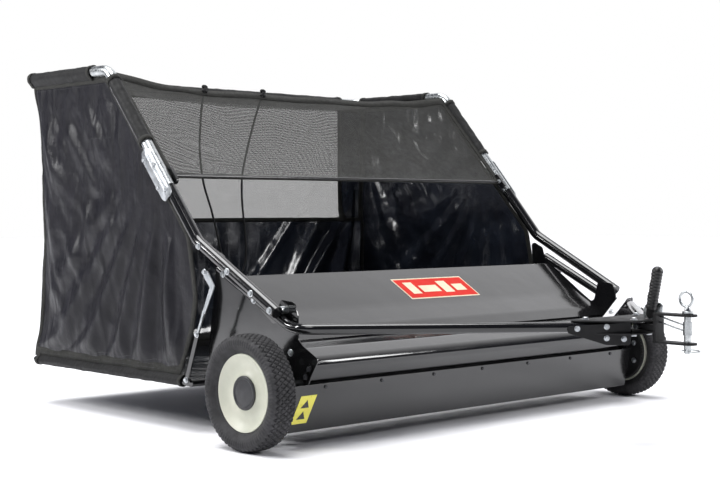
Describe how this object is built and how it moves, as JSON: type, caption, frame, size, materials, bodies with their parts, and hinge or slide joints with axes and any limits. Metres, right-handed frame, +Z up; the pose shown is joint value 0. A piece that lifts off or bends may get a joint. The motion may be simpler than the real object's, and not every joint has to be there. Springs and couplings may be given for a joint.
{
  "type": "lawn sweeper",
  "caption": "Tow-behind lawn sweeper: wheel-driven rotary brush in a steel housing throws leaves back into a tube-framed fabric and mesh hopper that tips forward to dump.",
  "frame": {"origin": "middle of the bounding box's footprint, on the ground the tyres stand on", "axes": "+Z up, +Y from the hitch towards the hopper's rear, +X to the right seen from the hitch end"},
  "size_m": [1.484, 1.809, 0.9258],
  "materials": {
    "tyre_rubber": "moulded, dusty",
    "rim_cream": "satin",
    "gear_nylon": "satin",
    "gear_steel": "oiled",
    "cap_black": "satin",
    "black_enamel": "gloss",
    "zinc_plate": "zinc plated",
    "bearing_nylon": "satin",
    "brush_core_grey": "satin",
    "bristle": "stiff fibre",
    "grip_vinyl": "dipped vinyl",
    "bag_fabric": "coated woven",
    "bag_mesh": "open mesh",
    "rope_black": "braided"
  },
  "bodies": {
    "root": {"side_plate_left": "black_enamel", "side_plate_right": "black_enamel", "hood": "black_enamel", "front_panel": "black_enamel", "front_skirt": "black_enamel", "rear_cross_bar": "black_enamel", "brush_bearing_left": "bearing_nylon", "brush_bearing_right": "bearing_nylon", "axle_left": "zinc_plate", "axle_right": "zinc_plate", "hitch_tube_left": "black_enamel", "hitch_tube_right": "black_enamel", "hitch_plate_top": "black_enamel", "hitch_plate_bottom": "black_enamel", "lever_quadrant": "zinc_plate", "yoke_pivot_bolt": "zinc_plate", "hopper_pivot_left": "zinc_plate", "hopper_pivot_right": "zinc_plate"},
    "wheel_left": {"tyre_left": "tyre_rubber", "wheel_rim_left": "rim_cream", "hub_cap_left": "cap_black", "wheel_ring_gear_left": "gear_nylon"},
    "wheel_right": {"tyre_right": "tyre_rubber", "wheel_rim_right": "rim_cream", "hub_cap_right": "cap_black", "wheel_ring_gear_right": "gear_nylon"},
    "brush": {"brush_shaft": "zinc_plate", "brush_core": "brush_core_grey", "bristle_row_1": "bristle", "bristle_row_2": "bristle", "bristle_row_3": "bristle", "bristle_row_4": "bristle", "brush_pinion_left": "gear_steel", "brush_pinion_right": "gear_steel"},
    "lever": {"height_lever": "black_enamel", "lever_grip": "grip_vinyl"},
    "tongue": {"hitch_tongue": "black_enamel"},
    "pin": {"hitch_pin": "zinc_plate"},
    "clip": {"hairpin_clip": "zinc_plate"},
    "hopper": {"hopper_arm_left": "black_enamel", "hopper_arm_right": "black_enamel", "hopper_bow_left": "zinc_plate", "hopper_bow_right": "zinc_plate", "splice_bracket_left": "zinc_plate", "splice_bracket_right": "zinc_plate", "hopper_strut_left": "zinc_plate", "hopper_strut_right": "zinc_plate", "floor_front_rail": "black_enamel", "floor_frame": "black_enamel", "rear_top_bar": "black_enamel", "bag_side_left": "bag_fabric", "bag_side_right": "bag_fabric", "bag_rear": "bag_fabric", "bag_rear_window": "bag_mesh", "bag_roof": "bag_mesh", "wind_guard": "bag_mesh", "bag_floor": "bag_fabric", "dump_rope": "rope_black"}
  },
  "joints": [
    {"name": "wheel_left_spin", "type": "hinge", "parent": "root", "child": "wheel_left", "pos_m": [-0.708, -0.19801, 0.1335], "axis": [1, 0, 0], "continuous": true},
    {"name": "wheel_right_spin", "type": "hinge", "parent": "root", "child": "wheel_right", "pos_m": [0.708, -0.19801, 0.1335], "axis": [1, 0, 0], "continuous": true},
    {"name": "brush_spin", "type": "hinge", "parent": "root", "child": "brush", "pos_m": [0, -0.13685, 0.12272], "axis": [1, 0, 0], "continuous": true},
    {"name": "hopper_dump", "type": "hinge", "parent": "root", "child": "hopper", "pos_m": [0, -0.20401, 0.316], "axis": [1, 0, 0], "range_deg": [0, 80]},
    {"name": "lever_swing", "type": "hinge", "parent": "root", "child": "lever", "pos_m": [0.0205, -0.76601, 0.305], "axis": [1, 0, 0], "range_deg": [-35, 15]},
    {"name": "tongue_tilt", "type": "hinge", "parent": "root", "child": "tongue", "pos_m": [0, -0.75801, 0.277], "axis": [1, 0, 0], "range_deg": [-6, 3]},
    {"name": "pin_lift", "type": "slide", "parent": "tongue", "child": "pin", "axis": [0, 0, 1], "range_m": [0, 0.008]},
    {"name": "clip_pull", "type": "slide", "parent": "pin", "child": "clip", "axis": [1, 0, 0], "range_m": [0, 0.05]}
  ],
  "couplings": [
    {"joint": "wheel_right_spin", "follows": "wheel_left_spin", "ratio": 1},
    {"joint": "brush_spin", "follows": "wheel_left_spin", "ratio": 5.6},
    {"joint": "tongue_tilt", "follows": "lever_swing", "ratio": 0.16}
  ]
}
